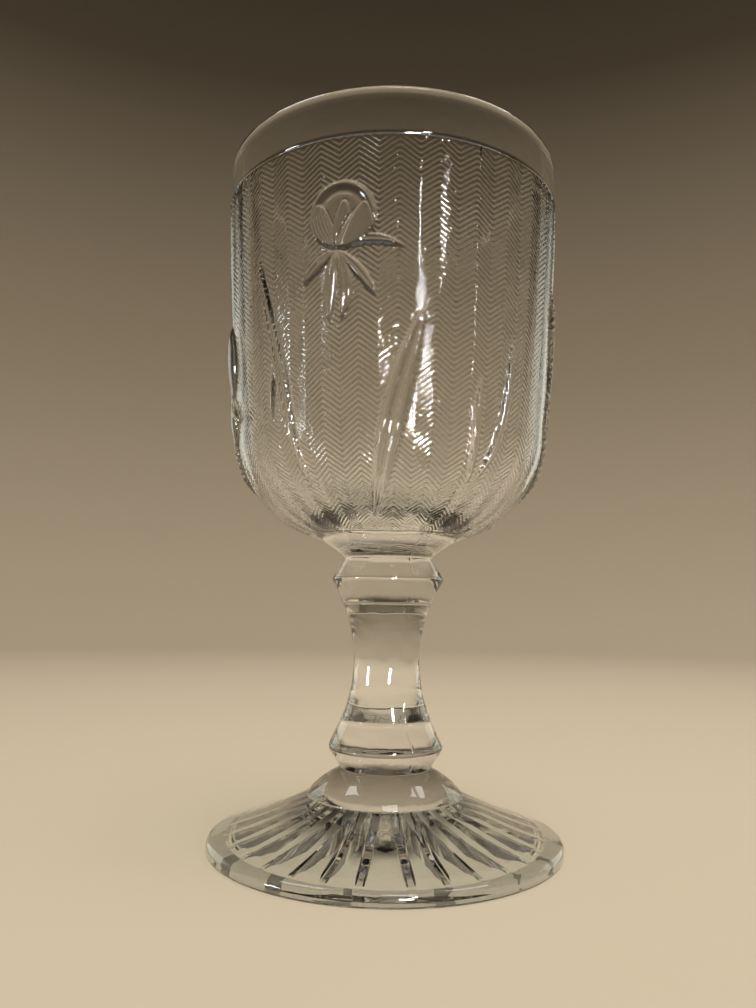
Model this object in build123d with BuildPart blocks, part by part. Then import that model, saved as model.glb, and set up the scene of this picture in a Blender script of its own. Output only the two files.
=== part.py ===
"""A small stemmed wine glass of clear pressed glass, standing upright.

The origin is the centre of the circle it stands on, +Z is up, and sizes are millimetres.
The front of the glass faces -Y. The glass is built in its sections, each a solid of its own
that meets the next one face to face: foot plate, foot dome, lower knop, shank, upper knop,
collar and bowl, with the flowers and leaves that stand out of the bowl's side.
"""
import os
from math import cos, radians, sin, tan

from build123d import *

# Foot
foot_radius = 28.7
foot_edge_height = 1.9      # where the sloping top meets the rolled edge
foot_edge_round = 1.2
foot_base_round = 0.6
foot_slope_hollow = 0.4     # how far the sloping top curves in
foot_plate_height = 8.1     # top of the slope, where the dome starts
standing_ring_width = 3.9   # flat ring along the edge that the glass rests on
hollow_lip_height = 0.9     # step up from the standing ring into the hollow
hollow_height = 5.4         # the hollow under the foot, at its flat middle
hollow_flat_radius = 9.0
ray_count = 30
front_panel_angle = 16.0    # the panel between two rays at the front is wider than the rest
front_panel_azimuth = 0.5
ray_width = 1.3
ray_slope = 9.5             # degrees that a ray's underside rises inwards from the standing ring
ray_inner_radius = 8.5      # where it has run out into the flat middle
ray_fade_length = 2.0
ray_clearance = 0.05        # height of a ray's outer end above the standing ring
dome_radius = 12.8
dome_height = 4.1
dome_swell = 0.45           # how far the dome rounds out past a plain cone

# Stem
neck_radius = 7.4
knop_radius = 9.5
knop_round = 0.9
lower_knop_height = 7.8
lower_knop_ridge = 3.3      # height of its widest line above its own base
shank_height = 19.0
shank_waist_radius = 5.5
upper_knop_height = 7.7
upper_knop_ridge = 4.1
collar_height = 3.6
collar_radius = 13.4
collar_hollow = 0.4         # how far the collar's side curves in

# Bowl
bowl_height = 64.0
rim_radius = 28.4
lip_thickness = 1.9
lip_round = 0.85
plain_band_height = 8.0     # smooth band under the lip
field_step = 0.25           # the patterned field stands this far out of the plain band
shoulder_radius = 25.9      # where the rounded bottom turns into the side
shoulder_height = 15.5
side_radius = 27.4          # outside, halfway up the side
side_height = 33.0
side_thickness = 2.3
shoulder_thickness = 2.7
bottom_thickness = 3.6
bottom_flat_radius = 9.0    # flat middle of the hollow

# Flowers and leaves
motif_count = 3             # one flower with its leaves on each third of the bowl
relief_height = 0.8
flower_azimuth = -15.0
leaf_azimuth = 4.0
blade_azimuth = -40.0
spray_azimuth = -80.0
bloom_radius = 5.1
bloom_height = 44.4         # centre of the bloom above the bowl's base
throat_height = 39.2        # where the bloom and its falls meet

# Levels of the joints between the sections
dome_base = foot_plate_height
lower_knop_base = dome_base + dome_height
shank_base = lower_knop_base + lower_knop_height
upper_knop_base = shank_base + shank_height
collar_base = upper_knop_base + upper_knop_height
bowl_base = collar_base + collar_height
field_top = bowl_height - plain_band_height
field_radius = rim_radius + field_step


def section_plane(level):
    """Upright plane for a revolved section: x is the radius and y the height above level."""
    return Plane(origin=(0, 0, level), x_dir=(1, 0, 0), z_dir=(0, -1, 0))


def facing_plane(azimuth):
    """Upright plane on the axis that faces out at this azimuth, its origin at the bowl's base."""
    turn = radians(azimuth)
    return Plane(origin=(0, 0, bowl_base), x_dir=(cos(turn), sin(turn), 0),
                 z_dir=(sin(turn), -cos(turn), 0))


def bowl_envelope(growth):
    """Filled section of the bowl up to the top of its field, grown outwards by this much."""
    with BuildSketch() as envelope:
        with BuildLine():
            side = ThreePointArc((field_radius + growth, field_top),
                                 (side_radius + growth, side_height),
                                 (shoulder_radius + growth, shoulder_height))
            bottom = TangentArc(side @ 1, (collar_radius, -growth), tangent=side % 1)
            Polyline(bottom @ 1, (0, -growth), (0, field_top), side @ 0)
        make_face()
    return envelope.sketch


def blade(base, tip, width, lean=0.0):
    """Outline of a pointed petal or leaf. Its middle is pushed sideways by the lean."""
    start = Vector(*base)
    end = Vector(*tip)
    middle = (start + end) / 2
    across = (end - start).normalized().rotate(Axis.Z, 90)
    with BuildSketch() as outline:
        with BuildLine():
            ThreePointArc(start, middle + across * (lean + width / 2), end)
            ThreePointArc(end, middle + across * (lean - width / 2), start)
        make_face()
    return outline.sketch


# Foot plate: a low cone with a rolled edge. Flat-bottomed rays stand out of the slope of the
# hollow underneath, between sunken panels that start with a step up from the standing ring.
hollow_radius = foot_radius - standing_ring_width
panel_radius = hollow_radius - hollow_lip_height
fade_radius = ray_inner_radius + ray_fade_length
fade_height = ray_clearance + (hollow_radius - fade_radius) * tan(radians(ray_slope))

with BuildPart() as ray:
    with BuildSketch(section_plane(0)):
        with BuildLine():
            Polyline((hollow_radius, ray_clearance), (fade_radius, fade_height),
                     (ray_inner_radius, hollow_height), (ray_inner_radius, hollow_height + 0.3),
                     (hollow_radius, hollow_lip_height + 0.3), close=True)
        make_face()
    extrude(amount=ray_width / 2, both=True)

with BuildPart() as foot_plate:
    with BuildSketch(section_plane(0)) as plate_section:
        with BuildLine():
            rim = Vector(foot_radius, foot_edge_height)
            summit = Vector(dome_radius, foot_plate_height)
            inwards = (summit - rim).normalized().rotate(Axis.Z, 90) * foot_slope_hollow
            ThreePointArc(rim, (rim + summit) / 2 + inwards, summit)
            Polyline(summit, (0, foot_plate_height), (0, hollow_height),
                     (hollow_flat_radius, hollow_height), (panel_radius, hollow_lip_height),
                     (hollow_radius, 0), (foot_radius, 0), rim)
        make_face()
        fillet(plate_section.vertices().group_by(Axis.X)[-1].sort_by(Axis.Y)[0], foot_base_round)
        fillet(plate_section.vertices().group_by(Axis.X)[-1].sort_by(Axis.Y)[-1], foot_edge_round)
    revolve(axis=Axis.Z)
    with PolarLocations(0, ray_count, start_angle=front_panel_azimuth + front_panel_angle / 2 - 90,
                        angular_range=360 - front_panel_angle, endpoint=True):
        add(ray.part)

# Foot dome: the rounded mound between the plate and the stem
with BuildPart() as foot_dome:
    with BuildSketch(section_plane(dome_base)):
        with BuildLine():
            swell = Vector(dome_height, dome_radius - neck_radius).normalized() * dome_swell
            middle = Vector((dome_radius + neck_radius) / 2, dome_height / 2)
            ThreePointArc((dome_radius, 0), middle + swell, (neck_radius, dome_height))
            Polyline((neck_radius, dome_height), (0, dome_height), (0, 0), (dome_radius, 0))
        make_face()
    revolve(axis=Axis.Z)

# Stem: a knop below and above a waisted shank, then the collar under the bowl
with BuildPart() as lower_knop:
    with BuildSketch(section_plane(lower_knop_base)) as lower_knop_section:
        with BuildLine():
            Polyline((0, 0), (neck_radius, 0), (knop_radius, lower_knop_ridge),
                     (neck_radius, lower_knop_height), (0, lower_knop_height), close=True)
        make_face()
        fillet(lower_knop_section.vertices().sort_by(Axis.X)[-1], knop_round)
    revolve(axis=Axis.Z)

with BuildPart() as shank:
    with BuildSketch(section_plane(shank_base)):
        with BuildLine():
            waist = ThreePointArc((neck_radius, 0), (shank_waist_radius, shank_height / 2),
                                  (neck_radius, shank_height))
            Polyline(waist @ 1, (0, shank_height), (0, 0), waist @ 0)
        make_face()
    revolve(axis=Axis.Z)

with BuildPart() as upper_knop:
    with BuildSketch(section_plane(upper_knop_base)) as upper_knop_section:
        with BuildLine():
            Polyline((0, 0), (neck_radius, 0), (knop_radius, upper_knop_ridge),
                     (neck_radius, upper_knop_height), (0, upper_knop_height), close=True)
        make_face()
        fillet(upper_knop_section.vertices().sort_by(Axis.X)[-1], knop_round)
    revolve(axis=Axis.Z)

with BuildPart() as collar:
    with BuildSketch(section_plane(collar_base)):
        with BuildLine():
            hollow = Vector(-collar_height, collar_radius - neck_radius).normalized() * collar_hollow
            middle = Vector((neck_radius + collar_radius) / 2, collar_height / 2)
            flare = ThreePointArc((neck_radius, 0), middle + hollow, (collar_radius, collar_height))
            Polyline(flare @ 1, (0, collar_height), (0, 0), flare @ 0)
        make_face()
    revolve(axis=Axis.Z)

# Bowl: rounded bottom, gently flared side, and a plain band under the rounded lip
with BuildPart() as bowl:
    with BuildSketch(section_plane(bowl_base)) as bowl_section:
        add(bowl_envelope(0))
        with BuildLine():
            Polyline((0, field_top), (field_radius, field_top), (rim_radius, field_top + field_step),
                     (rim_radius, bowl_height), (0, bowl_height), close=True)
        make_face()
        with BuildLine():
            inner_side = ThreePointArc((rim_radius - lip_thickness, bowl_height),
                                       (side_radius - side_thickness, side_height),
                                       (shoulder_radius - shoulder_thickness, shoulder_height))
            inner_bottom = TangentArc(inner_side @ 1, (bottom_flat_radius, bottom_thickness),
                                      tangent=inner_side % 1)
            Polyline(inner_bottom @ 1, (0, bottom_thickness), (0, bowl_height), inner_side @ 0)
        make_face(mode=Mode.SUBTRACT)
        fillet(bowl_section.vertices().group_by(Axis.Y)[-1], lip_round)
    revolve(axis=Axis.Z)

# Flowers and leaves: outlines pushed out of the axis and kept where they stand off the bowl
with BuildPart() as relief_layer:
    with BuildSketch(section_plane(bowl_base)):
        add(bowl_envelope(relief_height))
        add(bowl_envelope(0), mode=Mode.SUBTRACT)
    revolve(axis=Axis.Z)

reach = rim_radius + 2 * relief_height
throat = (-0.8, throat_height)

with BuildSketch() as flower_outline:
    with Locations((0, bloom_height)):
        Circle(bloom_radius)
    for tip, width, lean in [((8.0, throat_height + 0.2), 1.5, 1.2),
                             ((4.4, throat_height - 7.2), 1.7, 0.5),
                             ((1.0, throat_height - 10.0), 1.9, 0.3),
                             ((-1.8, throat_height - 10.6), 1.9, 0.0),
                             ((-6.0, throat_height - 4.6), 1.9, -0.4)]:
        add(blade(throat, tip, width, lean))
    with Locations(throat):
        Circle(1.6)

leaf_outlines = [
    (leaf_azimuth, blade((-4.0, 2.2), (2.8, 30.6), 2.7, 1.0)),
    (leaf_azimuth, blade((-2.6, 2.2), (-0.6, 24.0), 1.6, 0.7)),
    (blade_azimuth, blade((3.4, 5.4), (-3.6, 41.0), 1.6, -0.9)),
    (blade_azimuth, blade((-1.4, 15.6), (0.2, 27.0), 1.0, 0.2)),
    (spray_azimuth, blade((-3.0, 6.4), (1.0, 29.0), 1.8, -1.4)),
    (spray_azimuth, blade((-3.4, 6.4), (-4.4, 22.0), 1.5, 1.0)),
]

reliefs = {}
for number in range(1, motif_count + 1):
    turn = 360 / motif_count * (number - 1)
    with BuildPart() as flower:
        with BuildSketch(facing_plane(flower_azimuth + turn)):
            add(flower_outline.sketch)
        extrude(amount=reach)
        add(relief_layer.part, mode=Mode.INTERSECT)
    reliefs[f"flower_{number}"] = flower.part
    with BuildPart() as leaves:
        for azimuth, outline in leaf_outlines:
            with BuildSketch(facing_plane(azimuth + turn)):
                add(outline)
            extrude(amount=reach)
        add(relief_layer.part, mode=Mode.INTERSECT)
    reliefs[f"leaves_{number}"] = leaves.part

pieces = {
    "foot_plate": foot_plate.part,
    "foot_dome": foot_dome.part,
    "lower_knop": lower_knop.part,
    "shank": shank.part,
    "upper_knop": upper_knop.part,
    "collar": collar.part,
    "bowl": bowl.part,
    **reliefs,
}
os.makedirs("parts", exist_ok=True)
for name, piece in pieces.items():
    piece.label = name
    export_step(piece, f"parts/{name}.step")
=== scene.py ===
# %% [markdown]
# # A small wine glass of clear pressed glass
# The real glass is one pressing: hot glass is squeezed between a patterned mould and a smooth
# plunger, so its outside carries the pattern and its inside is plain. Here it is made in the same
# sections as the CAD model, which is loaded first as a fixed frame. Each section becomes a
# detailed skin of its own that takes the place of its CAD nodes.

# %% Load the frame
from math import radians

import bpy
import numpy as np
from mathutils import Matrix, Vector


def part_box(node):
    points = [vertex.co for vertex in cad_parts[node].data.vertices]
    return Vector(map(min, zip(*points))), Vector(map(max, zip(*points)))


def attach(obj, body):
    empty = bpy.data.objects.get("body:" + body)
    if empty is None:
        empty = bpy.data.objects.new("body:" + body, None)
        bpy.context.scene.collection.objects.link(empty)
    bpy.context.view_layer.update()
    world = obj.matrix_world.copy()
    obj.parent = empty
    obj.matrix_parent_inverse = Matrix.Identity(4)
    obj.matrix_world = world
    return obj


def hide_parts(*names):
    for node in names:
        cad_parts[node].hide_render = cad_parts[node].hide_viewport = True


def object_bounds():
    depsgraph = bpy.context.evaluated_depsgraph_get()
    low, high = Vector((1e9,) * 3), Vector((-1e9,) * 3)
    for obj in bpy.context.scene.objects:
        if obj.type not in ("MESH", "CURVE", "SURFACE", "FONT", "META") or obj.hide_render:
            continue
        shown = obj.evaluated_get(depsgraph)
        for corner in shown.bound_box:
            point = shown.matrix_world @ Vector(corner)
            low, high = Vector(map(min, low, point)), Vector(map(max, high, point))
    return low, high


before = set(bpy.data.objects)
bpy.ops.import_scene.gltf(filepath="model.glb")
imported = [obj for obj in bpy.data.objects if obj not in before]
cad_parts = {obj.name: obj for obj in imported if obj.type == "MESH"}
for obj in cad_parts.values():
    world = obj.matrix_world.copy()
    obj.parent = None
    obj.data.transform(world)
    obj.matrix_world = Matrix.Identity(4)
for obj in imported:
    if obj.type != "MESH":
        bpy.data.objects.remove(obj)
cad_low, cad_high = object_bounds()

MM = 0.001
print("nodes:", sorted(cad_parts))
print("size in mm:", [round(side / MM, 1) for side in cad_high - cad_low])

# %% [markdown]
# ## Sections as rings of points
# A turned form can be made with a curve and the Screw modifier. The bowl needs a pattern pressed
# into every few tenths of a millimetre, though, so each section here is a grid of rings: a profile
# gives each ring its radius and height, and numpy places the whole grid at once. First come
# the small tools that draw a profile: arcs, and corners rounded as a mould rounds them.

# %% Profile tools
def about(centre, a, b, count):
    """Points on the shorter arc round centre from a to b, without a."""
    first, last = np.arctan2(*(a - centre)[::-1]), np.arctan2(*(b - centre)[::-1])
    sweep = (last - first + np.pi) % (2 * np.pi) - np.pi
    turn = first + sweep * np.arange(1, count + 1) / count
    size = np.hypot(*(a - centre))
    return [tuple(centre + size * np.array([np.cos(t), np.sin(t)])) for t in turn]


def arc(start, middle, end, count):
    """Points on the arc from start through middle to end, without its start."""
    a, m, b = (np.array(p, float) for p in (start, middle, end))
    left, right = m - a, b - a
    twice = 2 * (left[0] * right[1] - left[1] * right[0])
    centre = a + np.array([right[1] * (left @ left) - left[1] * (right @ right),
                           left[0] * (right @ right) - right[0] * (left @ left)]) / twice
    return about(centre, a, b, count)


def arc_onward(before, start, end, count):
    """Points on the arc that carries on smoothly at start, coming from before, up to end."""
    a, b = np.array(start, float), np.array(end, float)
    heading = a - np.array(before, float)
    side = np.array([-heading[1], heading[0]]) / np.hypot(*heading)
    chord = b - a
    centre = a + side * (chord @ chord) / (2 * (side @ chord))
    return about(centre, a, b, count)


def run(start, end, count):
    """Evenly spaced points on the straight from start to end, without its start."""
    a, b = np.array(start, float), np.array(end, float)
    return [tuple(a + (b - a) * i / count) for i in range(1, count + 1)]


def rounded(before, corner, after, radius, count=6):
    """Points on the arc that rounds a corner off by this radius."""
    c = np.array(corner, float)
    back, on = (np.array(p, float) - c for p in (before, after))
    back, on = back / np.hypot(*back), on / np.hypot(*on)
    half = np.arccos(np.clip(back @ on, -1, 1)) / 2
    start, end = c + back * radius / np.tan(half), c + on * radius / np.tan(half)
    middle = c + (back + on) / np.hypot(*(back + on)) * (radius / np.sin(half) - radius)
    return [tuple(start)] + arc(start, middle, end, count)


print("profile tools: about, arc, arc_onward, run, rounded")

# %% [markdown]
# ## From rings to a closed skin
# One helper turns the grid into a mesh. Each end is closed by a fan round a middle point. Where two
# sections of the real glass are one mass, the fan is only a joint inside the glass, so it gets the
# second material slot, which light passes as if nothing were there.

# %% Skin helper
def around(degrees):
    """Unit x and y for azimuths in degrees, measured from the front (-Y) towards +X."""
    turn = np.radians(degrees)
    return np.sin(turn), -np.cos(turn)


def skin(name, radius, height, azimuths, joints, flip=None):
    """A closed mesh object from rings. radius and height are (rings, columns) arrays in mm.

    joints says whether the low and the high end are joints. flip marks the columns whose faces are
    divided the other way."""
    rings, columns = radius.shape
    x, y = around(azimuths)
    points = np.stack([radius * x, radius * y, height], axis=-1).reshape(-1, 3)
    middles = [(0, 0, height[0].mean()), (0, 0, height[-1].mean())]
    points = np.vstack([points, middles]) * MM
    i, j = np.meshgrid(np.arange(rings - 1), np.arange(columns), indexing="ij")
    right = (j + 1) % columns
    corners = [i * columns + j, i * columns + right, (i + 1) * columns + right,
               (i + 1) * columns + j]
    quads = np.stack(corners, axis=-1)
    if flip is not None:
        turned = np.roll(quads, -1, axis=-1)
        quads = np.where(flip[None, :, None], turned, quads)
    quads = quads.reshape(-1, 4)
    ring = np.arange(columns)
    after = (ring + 1) % columns
    top = (rings - 1) * columns
    low_fan = np.stack([np.full(columns, rings * columns), after, ring], axis=-1)
    high_fan = np.stack([np.full(columns, rings * columns + 1), top + ring, top + after], axis=-1)
    mesh = bpy.data.meshes.new(name)
    mesh.from_pydata(points.tolist(), [], quads.tolist() + low_fan.tolist() + high_fan.tolist())
    slots = np.zeros(len(quads) + 2 * columns, dtype=np.int32)
    slots[len(quads):len(quads) + columns] = int(joints[0])
    slots[len(quads) + columns:] = int(joints[1])
    mesh.polygons.foreach_set("material_index", slots)
    mesh.polygons.foreach_set("use_smooth", np.ones(len(slots), dtype=bool))
    mesh.update()
    piece = bpy.data.objects.new(name, mesh)
    bpy.context.scene.collection.objects.link(piece)
    print(f"{name}: {len(mesh.vertices)} points, {len(mesh.polygons)} faces")
    return piece


print("skin helpers: around, skin")

# %% [markdown]
# ## The mould seam
# The mould opens in three parts, and a fine raised line runs down the glass where they meet. It
# could be a bump in the material, but a real line catches the light on the stem, so it's pressed
# into the rings. Every grid above the foot plate gets a few narrow columns there to carry it.

# %% Seam
seam_azimuths = (27.0, 147.0, -93.0)
seam_width = 0.34           # mm
seam_height = 0.10


def columns_with_seams(count, smallest_radius):
    """Evenly spaced azimuths, with narrow columns added on both sides of each seam."""
    even = np.arange(count) * 360 / count
    half = np.degrees(seam_width / 2 / smallest_radius)
    extra = [a + half * k for a in seam_azimuths for k in (-1.6, -1, -0.5, 0, 0.5, 1, 1.6)]
    wrapped = np.array(extra) % 360
    clear = [a for a in even if np.min(np.abs((a - wrapped + 180) % 360 - 180)) > 90 / count]
    return np.sort(np.array(clear + list(wrapped)))


def seam_line(azimuths, radius, wander=0.0):
    """How far the seam stands out, in mm. wander shifts it sideways, ring by ring, in mm."""
    line = np.zeros_like(radius)
    for a in seam_azimuths:
        off = radius * np.radians((azimuths[None, :] - a + 180) % 360 - 180) - wander
        line = np.maximum(line, np.clip(1 - np.abs(off) / (seam_width / 2), 0, 1))
    return line * seam_height


print("seams at", seam_azimuths)

# %% [markdown]
# ## The foot plate
# The foot is a low cone with a rolled edge that rests on a flat ring. Underneath it is hollow, and
# thirty narrow rays with flat undersides run out from near the middle, with sunken panels between
# them. Seen from above through the smooth top, the rays look like dark bands between pale panels.
# They could be joined on with a boolean, but here each ray has columns of its own that follow its
# middle and both its steep sides, so the creases stay crisp.

# %% Foot sizes
foot_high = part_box("foot_plate")[1] / MM
foot_radius = foot_high.x
plate_top = foot_high.z
dome_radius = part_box("foot_dome")[1].x / MM
edge_height, edge_round, base_round, slope_hollow = 1.9, 1.2, 0.6, 0.4
ring_width, lip_height, hollow_height = 3.9, 0.9, 5.4
ray_count, front_panel_angle, front_panel_azimuth = 30, 16.0, 0.5
flat_radius, ray_width, ray_slope, ray_clearance = 9.0, 1.3, 9.5, 0.05
ray_inner_radius, ray_fade_length = 8.5, 2.0
ray_side = 0.16             # share of half a ray's width taken by its steep side
middle_ring = 0.5           # radius of the smallest ring, which the closing fan starts from
hollow_radius = foot_radius - ring_width
panel_radius = hollow_radius - lip_height
first_ray = front_panel_azimuth + front_panel_angle / 2
rays = first_ray + np.arange(ray_count) * (360 - front_panel_angle) / (ray_count - 1)
print("foot radius", round(foot_radius, 2), "plate top", round(plate_top, 2))

# %% Foot plate profile
def ray_crest(r):
    """Height of a ray's underside at this radius."""
    fade_radius = ray_inner_radius + ray_fade_length
    height = ray_clearance + (hollow_radius - max(r, fade_radius)) * np.tan(radians(ray_slope))
    fade = max(fade_radius - r, 0) / ray_fade_length
    return height + (hollow_height - height) * fade


hollow_corners = [(middle_ring, hollow_height), (ray_inner_radius, hollow_height),
                  (flat_radius, hollow_height), (panel_radius, lip_height), (hollow_radius, 0.0)]
hollow_points = hollow_corners[:1]
for start, end, count in zip(hollow_corners, hollow_corners[1:], (8, 3, 30, 6)):
    hollow_points = hollow_points + run(start, end, count)
rim_point, summit = (foot_radius, edge_height), (dome_radius, plate_top)
slope = np.array(summit) - np.array(rim_point)
inward = np.array([-slope[1], slope[0]]) / np.hypot(*slope)
slope_middle = tuple((np.array(summit) + np.array(rim_point)) / 2 + inward * slope_hollow)
slope_points = arc(rim_point, slope_middle, summit, 44)
edge_points = (run((hollow_radius, 0), (foot_radius - base_round - 0.02, 0), 6)
               + rounded((0, 0), (foot_radius, 0), rim_point, base_round)
               + rounded((foot_radius, 0), rim_point, slope_points[3], edge_round, 10))
slope_rows = [p for p in slope_points if p[0] < edge_points[-1][0] - 0.4]
plate_rows = np.array(hollow_points + edge_points + slope_rows)
print("foot plate profile:", len(plate_rows), "rings")

# %% Foot plate grid
steps = np.array([0, 0.5, 1 - ray_side, 1.0])            # across half a ray, 1 at its foot
beyond = np.array([0.04, 0.16, 0.33, 0.5])               # across the panel beside it
gaps = (np.roll(rays, -1) - rays) % 360
azimuth_grid, height_grid = [], []
for index, (r, z) in enumerate(plate_rows):
    within = index < len(hollow_points) and r > ray_inner_radius
    stands = max(z - ray_crest(r), 0.0) if within else 0.0
    half = np.degrees(ray_width / 2 / max(r, ray_inner_radius))
    line, lift = [], []
    for ray, before, after in zip(rays, np.roll(gaps, 1), gaps):
        for part in beyond[:-1][::-1]:
            line.append(ray - half - 2 * part * (before / 2 - half))
            lift.append(0.0)
        for part in list(-steps[::-1]) + list(steps[1:]):
            line.append(ray + half * part)
            lift.append(-stands * min(1.0, (1 - abs(part)) / ray_side))
        for part in beyond:
            line.append(ray + half + 2 * part * (after / 2 - half))
            lift.append(0.0)
    azimuth_grid.append(line)
    height_grid.append([z + d for d in lift])
azimuth_grid, plate_z = np.array(azimuth_grid), np.array(height_grid)
plate_r = np.repeat(plate_rows[:, :1], azimuth_grid.shape[1], axis=1)
print("foot plate grid:", azimuth_grid.shape)

# %% Foot plate skin
def skin_with_grid(name, radius, height, azimuths, joints):
    """A skin whose azimuths differ from ring to ring."""
    piece = skin(name, radius, height, azimuths[0], joints)
    x, y = around(azimuths)
    flat = np.stack([radius * x, radius * y, height], axis=-1).reshape(-1, 3) * MM
    co = np.empty(len(piece.data.vertices) * 3)
    piece.data.vertices.foreach_get("co", co)
    co = co.reshape(-1, 3)
    co[:len(flat)] = flat
    piece.data.vertices.foreach_set("co", co.ravel())
    piece.data.update()
    return piece


foot_piece = skin_with_grid("foot_pressed", plate_r, plate_z, azimuth_grid, (False, True))

# %% [markdown]
# ## Dome, knops, shank and collar
# Above the plate the foot swells into a low dome, and the stem follows: a knop, a waisted shank, a
# second knop and a short collar under the bowl. Each one is a turned profile between two joints.
# Pressed glass is never perfectly round, so a faint waviness is pressed into each ring.

# %% Stem helper
stem_waves = ((0.020, 3, 0.35), (0.012, 5, -0.9), (0.008, 9, 1.7))


def unevenness(waves, turn, height):
    """Slow waves in mm. Each has a depth, a number round the ring, and how fast it climbs."""
    return sum(depth * np.sin(number * turn + climb * height) for depth, number, climb in waves)


def turned(name, rows, columns=240):
    """A turned section from its profile rows, slightly uneven, with the seam pressed in."""
    rows = np.array(rows, float)
    azimuths = columns_with_seams(columns, rows[:, 0].min())
    radius = np.repeat(rows[:, :1], len(azimuths), axis=1)
    height = np.repeat(rows[:, 1:], len(azimuths), axis=1)
    turn = np.radians(azimuths)[None, :]
    wander = 0.16 * np.sin(height * 0.55) + 0.07 * np.sin(height * 1.9 + 1)
    radius = (radius + unevenness(stem_waves, turn, height)
              + seam_line(azimuths, radius, wander))
    return skin(name, radius, height, azimuths, (True, True))


levels = {name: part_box(name)[0].z / MM for name in
          ("foot_dome", "lower_knop", "shank", "upper_knop", "collar", "bowl")}
print("levels:", {name: round(z, 2) for name, z in levels.items()})

# %% Foot dome
neck_radius = 7.4
dome_base, dome_top = levels["foot_dome"], levels["lower_knop"]
dome_height, dome_swell = dome_top - dome_base, 0.45
swell = np.array([dome_height, dome_radius - neck_radius])
swell = swell / np.hypot(*swell) * dome_swell
dome_middle = ((dome_radius + neck_radius) / 2 + swell[0], dome_base + dome_height / 2 + swell[1])
dome_rows = [(dome_radius, dome_base)] + arc((dome_radius, dome_base), dome_middle,
                                             (neck_radius, dome_top), 26)
dome_piece = turned("dome_pressed", dome_rows)

# %% Knops
knop_radius, knop_round = 9.5, 0.9
lower_ridge, upper_ridge = 3.3, 4.1     # height of the ridge above the knop's own base


def knop_rows(base, ridge, top, radius):
    """Profile of a knop: two slopes that meet in a soft ridge."""
    low, wide, high = (neck_radius, base), (radius, ridge), (neck_radius, top)
    crest = rounded(low, wide, high, knop_round, 10)
    return [low] + run(low, crest[0], 12) + crest[1:] + run(crest[-1], high, 12)


lower_knop_piece = turned("lower_knop_pressed", knop_rows(
    levels["lower_knop"], levels["lower_knop"] + lower_ridge, levels["shank"], knop_radius))
upper_knop_piece = turned("upper_knop_pressed", knop_rows(
    levels["upper_knop"], levels["upper_knop"] + upper_ridge, levels["collar"], knop_radius))

# %% Shank
waist_radius = 5.5
shank_base, shank_top = levels["shank"], levels["upper_knop"]
shank_rows = [(neck_radius, shank_base)] + arc(
    (neck_radius, shank_base), (waist_radius, (shank_base + shank_top) / 2),
    (neck_radius, shank_top), 64)
shank_piece = turned("shank_pressed", shank_rows)

# %% Collar
collar_radius, collar_hollow = 13.4, 0.4
collar_base, bowl_base = levels["collar"], levels["bowl"]
lean = np.array([-(bowl_base - collar_base), collar_radius - neck_radius])
lean = lean / np.hypot(*lean) * collar_hollow
collar_middle = ((neck_radius + collar_radius) / 2 + lean[0],
                 (collar_base + bowl_base) / 2 + lean[1])
collar_rows = [(neck_radius, collar_base)] + arc(
    (neck_radius, collar_base), collar_middle, (collar_radius, bowl_base), 24)
collar_piece = turned("collar_pressed", collar_rows)

# %% [markdown]
# ## The bowl's profile
# The bowl's outside is a field of pattern from the collar up to a small step, then a plain band and
# a rounded lip. Its inside is plain. The field is divided every 0.21 mm along its own curve,
# because the pattern's ribs are only four of those divisions apart. A thin groove in the band, just
# above the step, draws the line that closes the field.

# %% Bowl profile
rim_height = (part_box("bowl")[1].z / MM) - bowl_base
rim_radius, lip_thickness, lip_round = 28.4, 1.9, 0.85
plain_band, field_step = 8.0, 0.25
side_radius, side_height, side_thickness = 27.4, 33.0, 2.3
shoulder_radius, shoulder_height, shoulder_thickness = 25.9, 15.5, 2.7
bottom_thickness, bottom_flat_radius = 3.6, 9.0
field_top, field_radius = rim_height - plain_band, rim_radius + field_step

field_start = (field_radius, field_top)
side = [field_start] + arc(field_start, (side_radius, side_height),
                           (shoulder_radius, shoulder_height), 400)
bottom = arc_onward(side[-2], side[-1], (collar_radius, 0.0), 400)
field_line = np.array((side + bottom)[::-1])            # from the collar up to the step
along = np.concatenate([[0], np.cumsum(np.hypot(*np.diff(field_line, axis=0).T))])
rib_division = 0.21
field_count = int(along[-1] / rib_division)
marks = along[-1] - np.arange(field_count, -1, -1) * rib_division
field_rows = np.stack([np.interp(marks, along, field_line[:, 0]),
                       np.interp(marks, along, field_line[:, 1])], axis=-1)
below_step = along[-1] - marks                           # distance down the curve from the step
print("field:", len(field_rows), "rows,", round(along[-1], 1), "mm along its curve")

# %% Plain band, lip and inside
inner_lip = (rim_radius - lip_thickness, rim_height)
inner_line = [inner_lip] + arc(inner_lip, (side_radius - side_thickness, side_height),
                               (shoulder_radius - shoulder_thickness, shoulder_height), 60)
flat_edge = (bottom_flat_radius, bottom_thickness)
inner_line += arc_onward(inner_line[-2], inner_line[-1], flat_edge, 34)
outer_lip = (rim_radius, rim_height)
step_top = (rim_radius, field_top + field_step)
groove_depth = 0.26
groove_side = rim_radius - groove_depth * 0.8
band = [(field_radius - 0.02, field_top + 0.06),
        (field_radius - 0.16, field_top + 0.12),
        (groove_side, field_top + 0.20),
        (rim_radius - groove_depth, field_top + 0.30),
        (groove_side, field_top + 0.40),
        (rim_radius, field_top + 0.62)]
band += run(band[-1], (rim_radius, rim_height - lip_round - 0.05), 24)
lip = rounded(step_top, outer_lip, inner_lip, lip_round, 9)
lip += rounded(outer_lip, inner_lip, inner_line[4], lip_round, 9)
inner = [p for p in inner_line[1:] if p[1] < lip[-1][1] - 0.4]
inner_ring = 0.6                        # radius of the smallest ring inside
inner += run(inner[-1], (inner_ring, bottom_thickness), 18)
plain_rows = np.array(band + lip + inner)
print("plain rows:", len(plain_rows))

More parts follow.
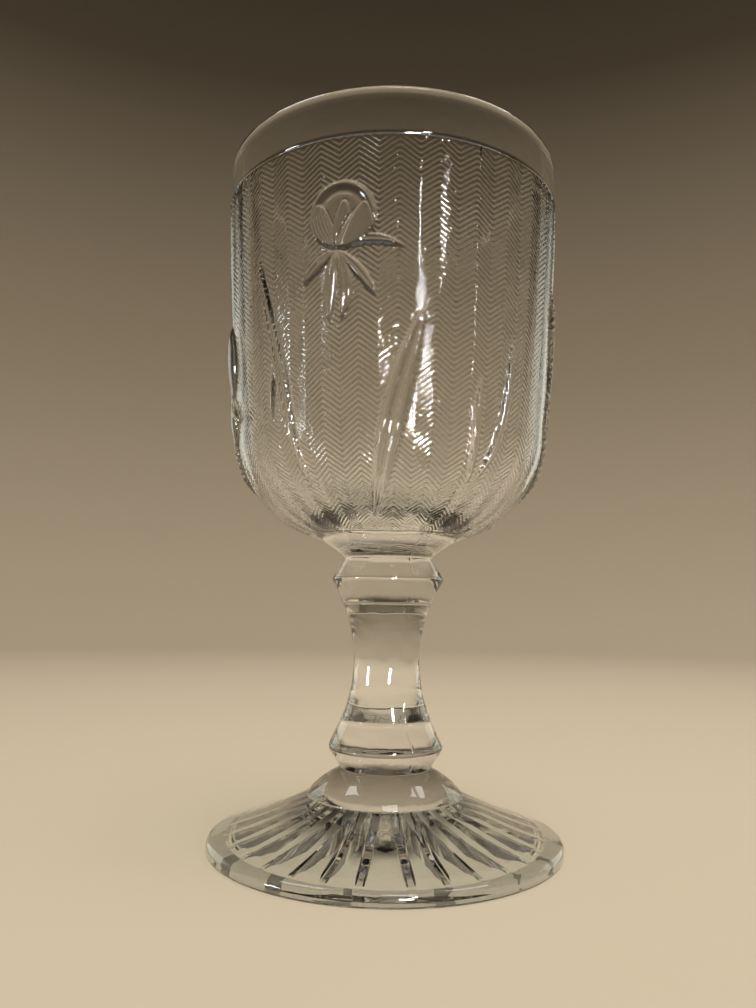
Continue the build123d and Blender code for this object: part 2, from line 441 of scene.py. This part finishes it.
# %% [markdown]
# ## The herringbone ribs
# Fine ribs cover the field in thirty pairs of columns, rising in one column and falling in the
# next, so they meet in arrowheads. A texture could draw them, but real ridges bend the light as
# the glass does. The ribs rise by one row for each column of the grid, and each face is
# divided along its rib, so every ridge runs clean. A little chance in their height breaks up the
# mirrored light into sparks, as on glass from a worn mould.

# %% Columns of the field
pair_angle = 12.0
arrow_azimuth = 2.0                     # a column edge where the ribs point up
column_angle = pair_angle / 20
fine_angle = column_angle / 3           # across the flowers, whose petals are small
flower_azimuth, leaf_azimuth, blade_azimuth, spray_azimuth = -15.0, 4.0, -40.0, -80.0
even = arrow_azimuth + np.arange(0, 360, column_angle)
fine = np.concatenate([flower_azimuth + 120 * k + np.arange(-11.2, 11.3, fine_angle)
                       for k in range(3)])
fine = np.round((fine - arrow_azimuth) / fine_angle) * fine_angle + arrow_azimuth
near_seam = np.concatenate([a + np.array([-0.32, -0.12, 0, 0.12, 0.32]) for a in seam_azimuths])
bowl_az = np.unique(np.round((np.concatenate([even, fine, near_seam]) - arrow_azimuth) % 360, 4))
bowl_az = bowl_az + arrow_azimuth
from_arrow = (bowl_az - arrow_azimuth) % pair_angle
rib_falls = from_arrow < pair_angle / 2 - 1e-6
climb = np.where(rib_falls, pair_angle / 2 - from_arrow, from_arrow - pair_angle / 2)
print("bowl columns:", len(bowl_az))

# %% Ribs
rib_spacing = 4 * rib_division
rib_height, rib_unevenness = 0.16, 0.014
phase = (below_step[:, None] + climb[None, :] / column_angle * rib_division) / rib_spacing
worn = np.random.default_rng(7).normal(0.0, rib_unevenness, phase.shape)
ribs = rib_height * (0.5 - 0.5 * np.cos(2 * np.pi * phase)) - rib_height + worn
print("rib spacing", rib_spacing, "mm, height", rib_height, "mm")

# %% [markdown]
# ## Flowers and leaves
# Each third of the bowl carries a bloom on falling petals, and long blades of leaf beside it. They
# stand out of the field as soft swellings. They could be separate meshes, but a boundary inside
# clear glass would show, so they are raised out of the bowl's own skin: every leaf or
# petal is a curved spindle with a height across it, and the ribs stop where it begins.

# %% Spindles
grid_r = np.repeat(field_rows[:, :1], len(bowl_az), axis=1)
grid_y = np.repeat(field_rows[:, 1:], len(bowl_az), axis=1)
full_width = 0.55           # half width in mm from which a spindle reaches its full height


def facing(azimuth):
    """Sideways distance in mm of each field point from the upright plane at this azimuth."""
    off = (bowl_az - azimuth + 60) % 120 - 60
    return grid_r * np.sin(np.radians(off))[None, :]


def spindle(s, y, base, tip, width, lean):
    """Place across (-1 to 1) and along (0 to 1) a curved spindle, and its half width there."""
    a, b = np.array(base), np.array(tip)
    length = np.hypot(*(b - a))
    on = (b - a) / length
    across = np.array([-on[1], on[0]])
    t = ((s - a[0]) * on[0] + (y - a[1]) * on[1]) / length
    d = (s - a[0]) * across[0] + (y - a[1]) * across[1]
    fullness = np.clip(4 * t * (1 - t), 0, 1)
    half = np.maximum(width / 2 * fullness ** 0.8, 1e-3)
    return (d - lean * fullness) / half, t, half


def swelling(u, t, half, height, flat=2.0):
    """Rounded height over a spindle, lower where it is narrow."""
    body = np.clip(1 - np.abs(u) ** flat, 0, 1) ** 0.5
    return np.where((t > 0) & (t < 1), body * height * np.clip(half / full_width, 0, 1), 0)


print("field grid:", grid_r.shape)

# %% Leaves
relief_height = 0.8
leaf_shapes = [     # azimuth, base, tip, width, lean, height, flatness, depth of the hollow along it
    (leaf_azimuth, (-3.4, 1.6), (2.8, 30.6), 4.0, 0.9, 1.4, 5.0, 0.30),
    (leaf_azimuth, (-2.6, 2.2), (-0.6, 24.0), 1.6, 0.7, 0.8, 2.0, 0.0),
    (blade_azimuth, (3.4, 5.4), (-3.6, 41.0), 2.2, -0.9, 1.0, 4.0, 0.30),
    (blade_azimuth, (-1.4, 15.6), (0.2, 27.0), 1.1, 0.2, 0.7, 2.0, 0.0),
    (spray_azimuth, (-3.0, 6.4), (1.0, 29.0), 1.9, -1.4, 1.0, 3.0, 0.20),
    (spray_azimuth, (-3.4, 6.4), (-4.4, 22.0), 1.5, 1.0, 0.8, 2.0, 0.0)]
leaf = np.zeros_like(grid_r)
for azimuth, base, tip, width, lean, height, flat, dip in leaf_shapes:
    u, t, half = spindle(facing(azimuth), grid_y, base, tip, width, lean)
    blade = swelling(u, t, half, relief_height * height, flat)
    leaf = np.maximum(leaf, blade * (1 - dip - dip * np.cos(2 * np.pi * u)))
print("leaves cover", round(float((leaf > 0).mean()) * 100, 1), "% of the field")

# %% Flowers
bloom_radius, bloom_height, throat = 5.1, 44.4, (-0.8, 39.2)
s = facing(flower_azimuth)
falls = np.zeros_like(grid_r)
falling_petals = [((8.8, 39.4), 1.6, 1.2), ((4.9, 32.2), 1.7, 0.5), ((-0.2, 28.9), 2.0, 1.1),
                  ((-1.9, 28.5), 2.0, -0.5), ((-6.2, 34.6), 1.8, -0.4)]      # tip, width, bend
for tip, width, bend in falling_petals:
    u, t, half = spindle(s, grid_y, throat, tip, width, bend)
    vein = 1 - 0.28 * np.exp(-(u / 0.22) ** 2)
    falls = np.maximum(falls, swelling(u, t, half, relief_height * 0.9, 3.0) * vein)
print("falling petals:", len(falling_petals))

# %% Bloom
def ring_band(place, breadth, below):
    """1 on a ring round the bloom at this share of its radius, fading out below its middle."""
    upper = np.clip((grid_y - bloom_height + below) / 2.0, 0, 1)
    return np.exp(-((from_centre - place) / breadth) ** 2) * upper


from_centre = np.hypot(s, grid_y - bloom_height) / bloom_radius
dome = relief_height * 0.62 * np.clip(1 - from_centre ** 6, 0, 1) ** 0.5
crest, hollow = ring_band(0.86, 0.09, 3.0), ring_band(0.66, 0.10, 1.0)
crest_height, hollow_depth = 0.30, 0.22
bloom = dome + crest * crest_height * (from_centre < 1) - hollow * hollow_depth * (from_centre < 1)
standing_petals = [((-3.4, 46.2), 4.4, 1.3, 9), ((0.6, 46.6), 2.6, -0.2, 5),
                   ((3.6, 46.0), 4.4, -1.3, 0)]                   # tip, width, bend, grooves
for tip, width, bend, grooves in standing_petals:
    u, t, half = spindle(s, grid_y, throat, tip, width, bend)
    petal = swelling(u, t, half, relief_height * 1.1, 4.0)
    petal = petal + np.where(petal > 0.2, 0.05 * np.cos(np.pi * grooves * u), 0) * (grooves > 0)
    bloom = np.where(petal > 0.15, np.maximum(bloom * 0.55, petal), bloom)
flower = np.maximum(falls, bloom * (from_centre < 1))
print("standing petals:", len(standing_petals))

# %% Low bloom
# a lower, smaller bloom stands out once, on the left of the bowl
bud_azimuth = -77.0
bud_reach = 40              # degrees each side that can hold it; beyond, it's placed far away
bud_off = (bowl_az - bud_azimuth + 180) % 360 - 180
s = grid_r * np.sin(np.radians(bud_off))[None, :]
s = np.where(np.abs(bud_off)[None, :] < bud_reach, s, 99.0)
bud_petals = [((0.0, 22.0), (0.6, 34.5), 7.0), ((0.0, 23.0), (-0.4, 14.2), 5.0),
              ((0.2, 22.4), (4.4, 17.0), 1.6), ((-0.2, 22.4), (-4.6, 17.6), 1.6)]
for base, tip, width in bud_petals:
    u, t, half = spindle(s, grid_y, base, tip, width, 0.0)
    rounding = np.clip(4 * t * (1 - t), 0, 1) ** 0.6
    vein = 1 - 0.2 * np.exp(-(u / 0.2) ** 2)
    petal = swelling(u, t, half, relief_height * 1.3, 2.6) * rounding * vein
    flower = np.maximum(flower, petal)
print("flowers cover", round(float((flower > 0).mean()) * 100, 1), "% of the field")

# %% [markdown]
# ## The bowl's skin
# Leaves, flowers and ribs are now three heights on one grid. They are added up and moved outward,
# square to the profile. A displacement modifier could do that from an image, but here the heights
# are exact. The plain band, lip and inside follow as more rings of the same mesh.

# %% Field of the bowl
rib_stop = 0.12             # mm of relief at which the ribs have stopped
step_fade = 0.15            # mm below the step in which the pattern comes up
relief = np.maximum(leaf, flower)
cover = np.clip(relief / rib_stop, 0, 1)
outward = relief + ribs * (1 - cover)
edge_fade = np.clip(below_step / step_fade, 0, 1)[:, None]
normal = np.gradient(field_rows, axis=0)
normal = np.stack([normal[:, 1], -normal[:, 0]], axis=-1) / np.hypot(*normal.T)[:, None]
field_r = grid_r + outward * edge_fade * normal[:, :1]
field_z = grid_y + outward * edge_fade * normal[:, 1:]
mark_length, mark_gain = 1.3, 2.0        # a thicker blob at the top of the seam
mark = np.exp(-(below_step[:, None] / mark_length) ** 4)
field_r = field_r + seam_line(bowl_az, grid_r) * (1 + mark_gain * mark)
# the lowest ring is the joint with the collar, so it stays where the frame has it
field_r[0], field_z[0] = collar_radius, 0.0
print("relief stands out", round(float(outward.max()), 2), "mm at most")

# %% Bowl skin
bowl_waves = ((0.012, 4, 0.2), (0.008, 7, -0.35))
plain_r = np.repeat(plain_rows[:, :1], len(bowl_az), axis=1)
plain_z = np.repeat(plain_rows[:, 1:], len(bowl_az), axis=1)
turn = np.radians(bowl_az)[None, :]
plain_r = plain_r + np.where(plain_r > 5, unevenness(bowl_waves, turn, plain_z), 0)
bowl_r = np.vstack([field_r, plain_r])
bowl_z = np.vstack([field_z, plain_z]) + bowl_base
bowl_piece = skin("bowl_pressed", bowl_r, bowl_z, bowl_az, (True, False), flip=rib_falls)

# %% [markdown]
# ## The skin of pressed glass
# Clear glass is hardly a colour at all. What the eye sees is what it bends and mirrors, so the
# finish is in the small unevenness: slow ripples left by the mould, fine dulling, and faint
# marks from use. Several materials need them, so they are one node group.

# %% Node group
def pressed_surface():
    """Node group: ripples as a height, a roughness that varies, and a faint tint that varies."""
    group = bpy.data.node_groups.new("pressed_surface", "ShaderNodeTree")
    for name, way, kind in (("Ripple Size", "INPUT", "Float"), ("Ripple Depth", "INPUT", "Float"),
                            ("Dulling", "INPUT", "Float"), ("Tint", "INPUT", "Color"),
                            ("Deep Tint", "INPUT", "Color"), ("Height", "OUTPUT", "Float"),
                            ("Roughness", "OUTPUT", "Float"), ("Color", "OUTPUT", "Color")):
        group.interface.new_socket(name, in_out=way, socket_type="NodeSocket" + kind)
    nodes, links = group.nodes, group.links
    inputs, outputs = nodes.new("NodeGroupInput"), nodes.new("NodeGroupOutput")
    place = nodes.new("ShaderNodeTexCoord")
    ripple = nodes.new("ShaderNodeTexNoise")
    ripple.inputs["Detail"].default_value = 2.0
    links.new(place.outputs["Object"], ripple.inputs["Vector"])
    links.new(inputs.outputs["Ripple Size"], ripple.inputs["Scale"])
    deep = nodes.new("ShaderNodeMath")
    deep.operation = "MULTIPLY"
    links.new(ripple.outputs["Fac"], deep.inputs[0])
    links.new(inputs.outputs["Ripple Depth"], deep.inputs[1])
    links.new(deep.outputs[0], outputs.inputs["Height"])
    smear = nodes.new("ShaderNodeTexNoise")
    smear.inputs["Scale"].default_value = 60.0
    smear.inputs["Detail"].default_value = 6.0
    links.new(place.outputs["Object"], smear.inputs["Vector"])
    dull = nodes.new("ShaderNodeMapRange")
    dull.inputs["From Min"].default_value = 0.35
    dull.inputs["From Max"].default_value = 0.75
    links.new(smear.outputs["Fac"], dull.inputs["Value"])
    links.new(inputs.outputs["Dulling"], dull.inputs["To Max"])
    links.new(dull.outputs["Result"], outputs.inputs["Roughness"])
    tone = nodes.new("ShaderNodeMix")
    tone.data_type = "RGBA"                 # its two colours are inputs 6 and 7, and output 2
    links.new(smear.outputs["Fac"], tone.inputs[0])
    links.new(inputs.outputs["Tint"], tone.inputs[6])
    links.new(inputs.outputs["Deep Tint"], tone.inputs[7])
    links.new(tone.outputs[2], outputs.inputs["Color"])
    return group


surface_group = pressed_surface()
print("group:", surface_group.name)

# %% [markdown]
# ## Clear glass and its joints
# The body is Principled glass with an index of 1.5 and a base colour that is nearly white, with a
# trace of grey green. Absorption in the volume would be truer, but the solid stem is so thick
# that it would turn bottle green, so the trace stays on the surface. Lamps shine through:
# for shadow rays the surface is transparent, as a thin wall nearly is.

# %% Glass materials
glass_index = 1.5
ripple_distance = 0.0001                # metres that a full ripple stands up in the bump
shadow_colour = (0.94, 0.955, 0.945, 1)  # what a lamp's light keeps on its way through


def clear_glass(name, ripple_size, ripple_depth, dulling, tint, deep_tint):
    """A material of clear pressed glass with its own ripple and dulling."""
    material = bpy.data.materials.new(name)
    material.use_nodes = True
    nodes, links = material.node_tree.nodes, material.node_tree.links
    shader, out = nodes["Principled BSDF"], nodes["Material Output"]
    shader.inputs["Transmission Weight"].default_value = 1.0
    shader.inputs["IOR"].default_value = glass_index
    shader.inputs["Metallic"].default_value = 0.0
    detail = nodes.new("ShaderNodeGroup")
    detail.node_tree = surface_group
    detail.inputs["Ripple Size"].default_value = ripple_size
    detail.inputs["Ripple Depth"].default_value = ripple_depth
    detail.inputs["Dulling"].default_value = dulling
    detail.inputs["Tint"].default_value = (*tint, 1)
    detail.inputs["Deep Tint"].default_value = (*deep_tint, 1)
    bump = nodes.new("ShaderNodeBump")
    bump.inputs["Distance"].default_value = ripple_distance
    links.new(detail.outputs["Height"], bump.inputs["Height"])
    links.new(bump.outputs["Normal"], shader.inputs["Normal"])
    links.new(detail.outputs["Roughness"], shader.inputs["Roughness"])
    links.new(detail.outputs["Color"], shader.inputs["Base Color"])
    through = nodes.new("ShaderNodeBsdfTransparent")
    through.inputs["Color"].default_value = shadow_colour
    path = nodes.new("ShaderNodeLightPath")
    choose = nodes.new("ShaderNodeMixShader")
    links.new(path.outputs["Is Shadow Ray"], choose.inputs[0])
    links.new(shader.outputs[0], choose.inputs[1])
    links.new(through.outputs[0], choose.inputs[2])
    links.new(choose.outputs[0], out.inputs["Surface"])
    return material


bowl_glass = clear_glass("bowl_glass", 180.0, 0.5, 0.03,
                         (0.992, 0.996, 0.992), (0.965, 0.978, 0.968))
stem_glass = clear_glass("stem_glass", 240.0, 1.0, 0.02,
                         (0.990, 0.995, 0.993), (0.965, 0.978, 0.972))
foot_glass = clear_glass("foot_glass", 200.0, 0.8, 0.05,
                         (0.990, 0.995, 0.992), (0.960, 0.975, 0.968))
print("glasses:", [m.name for m in (bowl_glass, stem_glass, foot_glass)])

# %% Inner joint
joint = bpy.data.materials.new("inner_joint")
joint.use_nodes = True
joint.node_tree.nodes.clear()
passing = joint.node_tree.nodes.new("ShaderNodeBsdfTransparent")
joint_out = joint.node_tree.nodes.new("ShaderNodeOutputMaterial")
joint.node_tree.links.new(passing.outputs[0], joint_out.inputs["Surface"])
print("joint material:", joint.name)

# %% [markdown]
# ## Tying the pieces to the frame
# Every skin needs two materials, a body to move with and the CAD nodes it stands for. The glass is
# one rigid thing, so all of them ride the one body. One table says it all, so that nothing is
# forgotten.

# %% Tie every piece to the frame
reliefs = [f"{kind}_{k}" for kind in ("flower", "leaves") for k in (1, 2, 3)]
ties = [(foot_piece, foot_glass, ["foot_plate"]), (dome_piece, foot_glass, ["foot_dome"]),
        (lower_knop_piece, stem_glass, ["lower_knop"]), (shank_piece, stem_glass, ["shank"]),
        (upper_knop_piece, stem_glass, ["upper_knop"]), (collar_piece, stem_glass, ["collar"]),
        (bowl_piece, bowl_glass, ["bowl"] + reliefs)]
for piece, finish, nodes_replaced in ties:
    piece.data.materials.append(finish)
    piece.data.materials.append(joint)
    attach(piece, "root")
    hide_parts(*nodes_replaced)
    print(piece.name, "stands for", nodes_replaced)

# %% [markdown]
# ## Floor and backdrop
# Clear glass only shows against something. The floor is pale and plain and sweeps up into a wall
# all round. Shade is painted onto the wall: its colour grows darker as it rises, as if the lamps
# left its top unlit, so that each rib, which bends the view a little up or down, looks lighter or
# darker than its neighbour. A plain cube turned inside out would show its corners through the
# glass, so the floor and wall are one round sheet.

# %% Sweep profile
sweep_radius, sweep_bend, sweep_wall = 900.0, 350.0, 1200.0
sweep_middle = 2.0                      # radius of its smallest ring, under the foot's hollow
floor_edge, wall_foot = (sweep_radius - sweep_bend, 0.0), (sweep_radius, sweep_bend)
bend_in = sweep_bend * (1 - 0.7071)     # how far the bend's middle is from the floor and wall
sweep_profile = [(sweep_middle, 0.0)] + run((sweep_middle, 0.0), floor_edge, 30)
sweep_profile += arc(floor_edge, (sweep_radius - bend_in, bend_in), wall_foot, 24)
sweep_profile += run(wall_foot, (sweep_radius, sweep_wall), 10)
sweep_rows = np.array(sweep_profile)
print("sweep profile:", len(sweep_rows), "rings")

# %% Sweep mesh
sweep_az = np.arange(0, 360, 3.0)
count = len(sweep_az)
sx, sy = around(sweep_az)
spots = np.stack([sweep_rows[:, :1] * sx, sweep_rows[:, :1] * sy,
                  np.repeat(sweep_rows[:, 1:], count, axis=1)], axis=-1).reshape(-1, 3) * MM
rows_i, cols_j = np.meshgrid(np.arange(len(sweep_rows) - 1), np.arange(count), indexing="ij")
right = (cols_j + 1) % count
sweep_faces = np.stack([rows_i * count + cols_j, (rows_i + 1) * count + cols_j,
                        (rows_i + 1) * count + right, rows_i * count + right], axis=-1)
sweep_mesh = bpy.data.meshes.new("sweep")
middle_face = list(range(count - 1, -1, -1))
sweep_mesh.from_pydata(spots.tolist(), [], sweep_faces.reshape(-1, 4).tolist() + [middle_face])
sweep_mesh.polygons.foreach_set("use_smooth", np.ones(len(sweep_mesh.polygons), dtype=bool))
sweep = bpy.data.objects.new("sweep", sweep_mesh)
bpy.context.scene.collection.objects.link(sweep)
print("sweep radius", sweep_radius, "mm")

# %% Paper with painted shade
# painted shade: the colour runs from pale on the floor to dark high up the wall, as if the lamps
# left the top unlit
pale, painted_shade = (0.54, 0.455, 0.335, 1), (0.10, 0.080, 0.055, 1)
painted_shade_height = 0.75                      # metres up the wall at which it is fully dark
paper_with_painted_shade = bpy.data.materials.new("paper_with_painted_shade")
paper_with_painted_shade.use_nodes = True
nodes, links = paper_with_painted_shade.node_tree.nodes, paper_with_painted_shade.node_tree.links
place = nodes.new("ShaderNodeTexCoord")
split = nodes.new("ShaderNodeSeparateXYZ")
links.new(place.outputs["Object"], split.inputs[0])
ramp = nodes.new("ShaderNodeValToRGB")
ramp.color_ramp.elements[0].position = 0.0
ramp.color_ramp.elements[0].color = pale
ramp.color_ramp.elements[1].position = 1.0
ramp.color_ramp.elements[1].color = painted_shade
rise = nodes.new("ShaderNodeMapRange")
rise.inputs["From Min"].default_value = 0.0
rise.inputs["From Max"].default_value = painted_shade_height
links.new(split.outputs["Z"], rise.inputs["Value"])
links.new(rise.outputs["Result"], ramp.inputs[0])
links.new(ramp.outputs[0], nodes["Principled BSDF"].inputs["Base Color"])
nodes["Principled BSDF"].inputs["Roughness"].default_value = 0.9
nodes["Principled BSDF"].inputs["Specular IOR Level"].default_value = 0.0
sweep.data.materials.append(paper_with_painted_shade)
print("paper from", pale[:3], "to", painted_shade[:3])

# %% [markdown]
# ## Light
# One large soft lamp above lights the floor and the glass. Glass shows the other lamps only by
# mirroring them, so those are switched off for everything else and leave no bright patch on the
# floor: two tiny ones in front put sparks on ribs and ridges, a small cool one stands for a window
# at the left, two broad ones behind draw the pale edges, and three high ones give a sheen from
# above. One bright lamp could do the work of all, but it would burn the floor white.

# %% Lamp helper
def lamp(name, spot, aim, size, power, colour=(1, 1, 1)):
    """An area lamp of this size in metres, at spot, facing aim."""
    data = bpy.data.lights.new(name, "AREA")
    data.size, data.energy, data.color = size, power, colour
    made = bpy.data.objects.new(name, data)
    made.location = spot
    made.rotation_euler = (Vector(aim) - Vector(spot)).to_track_quat("-Z", "Y").to_euler()
    made.visible_camera = False
    bpy.context.scene.collection.objects.link(made)
    return made


print("lamp helper: lamp")

# %% Lamps
middle = (cad_low + cad_high) / 2
overhead = lamp("overhead", (0.12, -0.15, 0.95), middle, 0.42, 11.0, (1.0, 0.98, 0.95))
overhead.visible_glossy = overhead.visible_transmission = False
white, cool, greenish = (1, 1, 1), (0.82, 0.92, 1.0), (0.90, 1.0, 0.92)
mirrored = [                            # name, place, size, power, colour
    ("spark", (0.030, -0.150, 0.040), 0.020, 0.32, white),
    ("spark_high", (0.044, -0.135, 0.100), 0.016, 0.12, white),
    ("window", (-0.30, -0.14, 0.040), 0.06, 0.30, cool),
    ("edge_left", (-0.42, 0.36, 0.14), 0.30, 0.32, greenish),
    ("edge_right", (0.42, 0.36, 0.14), 0.30, 0.32, greenish),
    ("sheen_front", (0.10, -0.38, 0.85), 0.26, 1.1, white),
    ("sheen_right", (0.38, 0.20, 0.85), 0.26, 1.1, white),
    ("sheen_left", (-0.38, 0.20, 0.85), 0.26, 1.1, white)]
for name, spot, size, power, colour in mirrored:
    gleam = lamp(name, spot, middle, size, power, colour)
    gleam.visible_diffuse = gleam.visible_transmission = False

# %% World and colour
room_colour, room_strength = (0.8, 0.82, 0.85, 1), 0.10
bpy.context.scene.cycles.caustics_refractive = False     # shadow rays already pass the glass
world = bpy.data.worlds.new("room")
bpy.context.scene.world = world
world.use_nodes = True
world.node_tree.nodes["Background"].inputs["Color"].default_value = room_colour
world.node_tree.nodes["Background"].inputs["Strength"].default_value = room_strength
bpy.context.scene.view_settings.view_transform = "Standard"
print("world strength", room_strength)

# %% [markdown]
# ## Camera
# The camera stands close in front, at the height of the stem, and looks a little up. From so near,
# perspective opens the foot and the rim into ellipses that bend opposite ways, which a longer lens
# from further off would flatten.

# %% Camera
camera_place = (0.0, -0.1366, 0.0392)
camera_turn, camera_tilt, camera_roll = radians(0.78), radians(97.0), radians(0.85)
camera = bpy.data.objects.new("camera", bpy.data.cameras.new("camera"))
camera.data.lens = 28.571
camera.data.sensor_width = 36.0
camera.data.clip_start = 0.005
camera.matrix_world = (Matrix.Translation(camera_place) @ Matrix.Rotation(camera_turn, 4, "Z")
                       @ Matrix.Rotation(camera_tilt, 4, "X")
                       @ Matrix.Rotation(camera_roll, 4, "Z"))
bpy.context.scene.collection.objects.link(camera)
bpy.context.scene.camera = camera
print("camera at", tuple(round(v, 4) for v in camera.location))
